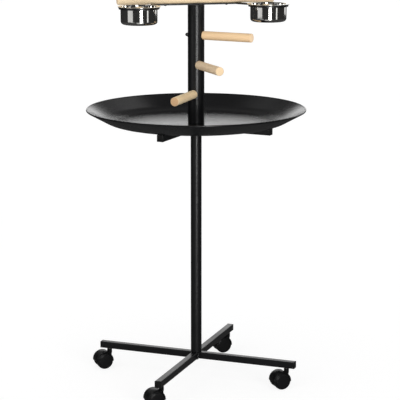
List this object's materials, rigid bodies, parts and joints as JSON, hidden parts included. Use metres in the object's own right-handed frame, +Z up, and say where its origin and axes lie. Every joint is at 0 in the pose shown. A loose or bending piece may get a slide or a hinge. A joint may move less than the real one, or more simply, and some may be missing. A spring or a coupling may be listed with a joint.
{
  "type": "parrot play stand",
  "caption": "Rolling bird play stand: cross base on twin-wheel casters, post with a round tray, dowel perches, and a top perch with lift-out steel bowls.",
  "frame": {"origin": "on the floor under the axis of the post", "axes": "+Z up along the post; +X along the long base tube; +Y along the base stubs, away from the picture's viewer"},
  "size_m": [0.6512, 0.6491, 1.152],
  "materials": {
    "black_powder_coat": "satin powder coat",
    "zinc_steel": "bright zinc plating",
    "black_nut": "black oxide",
    "black_plastic_plug": "moulded matte",
    "turned_dowel": "sanded, unsealed",
    "pale_perch": "sanded, unsealed",
    "polished_bowl": "polished stainless steel",
    "caster_nylon": "moulded matte",
    "wheel_nylon": "moulded satin"
  },
  "bodies": {
    "stand": {"base_long_tube": "black_powder_coat", "base_far_stub": "black_powder_coat", "base_near_stub": "black_powder_coat", "base_weld_beads": "black_powder_coat", "lower_post": "black_powder_coat", "support_long_tube": "black_powder_coat", "support_far_stub": "black_powder_coat", "support_near_stub": "black_powder_coat", "support_weld_beads": "black_powder_coat", "tray": "black_powder_coat", "upper_post": "black_powder_coat", "bowl_holder_strip": "black_powder_coat", "bowl_holder_arms": "black_powder_coat", "bowl_rings": "black_powder_coat", "lower_post_plugs": "zinc_steel", "upper_post_foot": "zinc_steel", "post_foot_bolt": "zinc_steel", "tie_stud": "zinc_steel", "caster_stems": "zinc_steel", "perch_studs": "zinc_steel", "cap_nuts": "black_nut", "base_end_plugs": "black_plastic_plug", "support_end_plugs": "black_plastic_plug", "upper_short_perch": "turned_dowel", "middle_short_perch": "turned_dowel", "lower_short_perch": "turned_dowel", "top_perch": "pale_perch"},
    "right_caster": {"right_caster_hood": "caster_nylon", "right_caster_axle": "zinc_steel"},
    "right_caster_wheel_front": {"right_caster_wheel_front": "wheel_nylon"},
    "right_caster_wheel_rear": {"right_caster_wheel_rear": "wheel_nylon"},
    "far_caster": {"far_caster_hood": "caster_nylon", "far_caster_axle": "zinc_steel"},
    "far_caster_wheel_front": {"far_caster_wheel_front": "wheel_nylon"},
    "far_caster_wheel_rear": {"far_caster_wheel_rear": "wheel_nylon"},
    "left_caster": {"left_caster_hood": "caster_nylon", "left_caster_axle": "zinc_steel"},
    "left_caster_wheel_front": {"left_caster_wheel_front": "wheel_nylon"},
    "left_caster_wheel_rear": {"left_caster_wheel_rear": "wheel_nylon"},
    "near_caster": {"near_caster_hood": "caster_nylon", "near_caster_axle": "zinc_steel"},
    "near_caster_wheel_front": {"near_caster_wheel_front": "wheel_nylon"},
    "near_caster_wheel_rear": {"near_caster_wheel_rear": "wheel_nylon"},
    "left_bowl": {"left_bowl": "polished_bowl"},
    "right_bowl": {"right_bowl": "polished_bowl"}
  },
  "joints": [
    {"name": "right_caster_swivel", "type": "hinge", "parent": "stand", "child": "right_caster", "pos_m": [0.283, 0, 0.045], "axis": [0, 0, 1], "continuous": true},
    {"name": "right_caster_wheel_front_spin", "type": "hinge", "parent": "right_caster", "child": "right_caster_wheel_front", "pos_m": [0.26767, -0.01346, 0.025], "axis": [0.66, -0.7513, 0], "continuous": true},
    {"name": "right_caster_wheel_rear_spin", "type": "hinge", "parent": "right_caster", "child": "right_caster_wheel_rear", "pos_m": [0.26767, -0.01346, 0.025], "axis": [0.66, -0.7513, 0], "continuous": true},
    {"name": "far_caster_swivel", "type": "hinge", "parent": "stand", "child": "far_caster", "pos_m": [0, 0.283, 0.045], "axis": [0, 0, 1], "continuous": true},
    {"name": "far_caster_wheel_front_spin", "type": "hinge", "parent": "far_caster", "child": "far_caster_wheel_front", "pos_m": [-0.01533, 0.26954, 0.025], "axis": [0.66, -0.7513, 0], "continuous": true},
    {"name": "far_caster_wheel_rear_spin", "type": "hinge", "parent": "far_caster", "child": "far_caster_wheel_rear", "pos_m": [-0.01533, 0.26954, 0.025], "axis": [0.66, -0.7513, 0], "continuous": true},
    {"name": "left_caster_swivel", "type": "hinge", "parent": "stand", "child": "left_caster", "pos_m": [-0.283, 0, 0.045], "axis": [0, 0, 1], "continuous": true},
    {"name": "left_caster_wheel_front_spin", "type": "hinge", "parent": "left_caster", "child": "left_caster_wheel_front", "pos_m": [-0.29833, -0.01346, 0.025], "axis": [0.66, -0.7513, 0], "continuous": true},
    {"name": "left_caster_wheel_rear_spin", "type": "hinge", "parent": "left_caster", "child": "left_caster_wheel_rear", "pos_m": [-0.29833, -0.01346, 0.025], "axis": [0.66, -0.7513, 0], "continuous": true},
    {"name": "near_caster_swivel", "type": "hinge", "parent": "stand", "child": "near_caster", "pos_m": [0, -0.283, 0.045], "axis": [0, 0, 1], "continuous": true},
    {"name": "near_caster_wheel_front_spin", "type": "hinge", "parent": "near_caster", "child": "near_caster_wheel_front", "pos_m": [-0.01533, -0.29646, 0.025], "axis": [0.66, -0.7513, 0], "continuous": true},
    {"name": "near_caster_wheel_rear_spin", "type": "hinge", "parent": "near_caster", "child": "near_caster_wheel_rear", "pos_m": [-0.01533, -0.29646, 0.025], "axis": [0.66, -0.7513, 0], "continuous": true},
    {"name": "left_bowl_lift", "type": "slide", "parent": "stand", "child": "left_bowl", "axis": [0, 0, 1], "range_m": [0, 0.08]},
    {"name": "right_bowl_lift", "type": "slide", "parent": "stand", "child": "right_bowl", "axis": [0, 0, 1], "range_m": [0, 0.08]}
  ]
}
